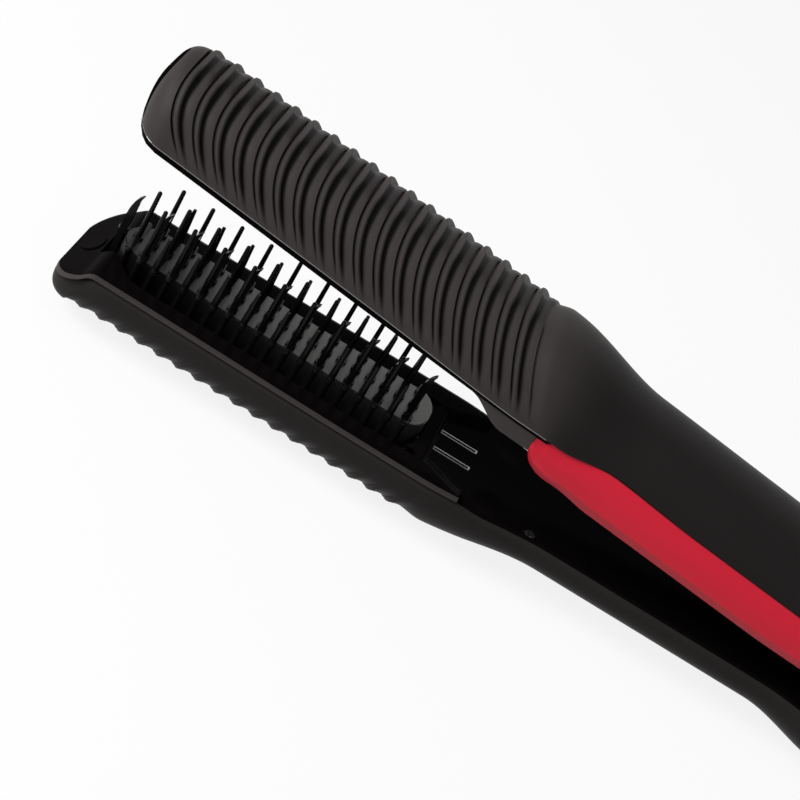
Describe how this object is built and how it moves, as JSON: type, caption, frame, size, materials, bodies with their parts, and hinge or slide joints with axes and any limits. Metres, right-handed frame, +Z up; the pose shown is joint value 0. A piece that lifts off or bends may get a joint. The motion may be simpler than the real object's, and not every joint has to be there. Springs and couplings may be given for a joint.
{
  "type": "hot air straightener tong",
  "caption": "Two-arm hot air straightening tong: ribbed black heads with a plate and comb below and a slotted plate above, red-trimmed handle, hinged at the tail.",
  "frame": {"origin": "centre of the bounding box in plan, at its lowest face, with the lower arm lying on its back and the arms open", "axes": "+X from the tips of the arms to the tail, +Y to the side that is away from the picture's camera, +Z up"},
  "size_m": [0.3522, 0.0444, 0.0829],
  "materials": {
    "cover_black": "satin moulded black plastic with fine ribs",
    "inner_gloss": "polished black plastic",
    "red_gloss": "glossy cherry red plastic",
    "plate_grey": "light grey ceramic-coated metal, satin",
    "comb_black": "heat-resistant black plastic, glossy",
    "steel": "bare steel",
    "dark_steel": "black oxide steel",
    "cushion": "soft silicone",
    "button_black": "satin black plastic",
    "lens": "clear light guide",
    "board_green": "circuit board lacquer",
    "mica": "mica insulation",
    "motor_steel": "zinc plated can",
    "fan_white": "natural nylon",
    "mesh_steel": "woven wire cloth",
    "gland_rubber": "soft black rubber"
  },
  "bodies": {
    "handle": {"upper_cover": "cover_black", "upper_frame": "inner_gloss", "upper_plate": "plate_grey", "red_trim_left": "red_gloss", "red_trim_right": "red_gloss", "handle_base": "inner_gloss", "button_panel": "inner_gloss", "indicator_lenses": "lens", "circuit_board": "board_green", "heater_core": "mica", "thermal_fuse": "steel", "motor": "motor_steel", "tail_shell": "cover_black", "tail_cap": "cover_black", "filter_mesh": "mesh_steel", "cord_gland": "gland_rubber", "hinge_pin": "steel", "torsion_spring": "steel", "handle_screws": "dark_steel"},
    "lower_arm": {"lower_cover": "cover_black", "lower_frame": "inner_gloss", "lower_panel": "inner_gloss", "tip_plug": "inner_gloss", "lower_plate": "plate_grey", "plate_cushion": "cushion", "comb": "comb_black", "lower_screws": "dark_steel", "hinge_bracket": "dark_steel"},
    "impeller": {"impeller": "fan_white"},
    "power_button": {"power_button": "button_black"},
    "heat_button": {"heat_button": "button_black"},
    "cool_button": {"cool_button": "button_black"},
    "lock_slider": {"lock_slider": "button_black"}
  },
  "joints": [
    {"name": "arm_hinge", "type": "hinge", "parent": "handle", "child": "lower_arm", "pos_m": [0.15726, 0, 0.02135], "axis": [0, 1, 0], "range_deg": [0, 5.9], "stiffness_Nm_per_rad": 1, "springref_deg": -45.84},
    {"name": "impeller_spin", "type": "hinge", "parent": "handle", "child": "impeller", "pos_m": [0.13756, 0, 0.03295], "axis": [0.9946, 0, -0.1037], "continuous": true},
    {"name": "power_press", "type": "slide", "parent": "handle", "child": "power_button", "axis": [-0.1037, 0, -0.9946], "range_m": [0, 0.0012], "stiffness_N_per_m": 400, "springref_m": -0.001},
    {"name": "heat_press", "type": "slide", "parent": "handle", "child": "heat_button", "axis": [-0.1037, 0, -0.9946], "range_m": [0, 0.0012], "stiffness_N_per_m": 400, "springref_m": -0.001},
    {"name": "cool_press", "type": "slide", "parent": "handle", "child": "cool_button", "axis": [-0.1037, 0, -0.9946], "range_m": [0, 0.0012], "stiffness_N_per_m": 400, "springref_m": -0.001},
    {"name": "lock_slide", "type": "slide", "parent": "handle", "child": "lock_slider", "axis": [0.9946, 0, -0.1037], "range_m": [0, 0.006]}
  ]
}
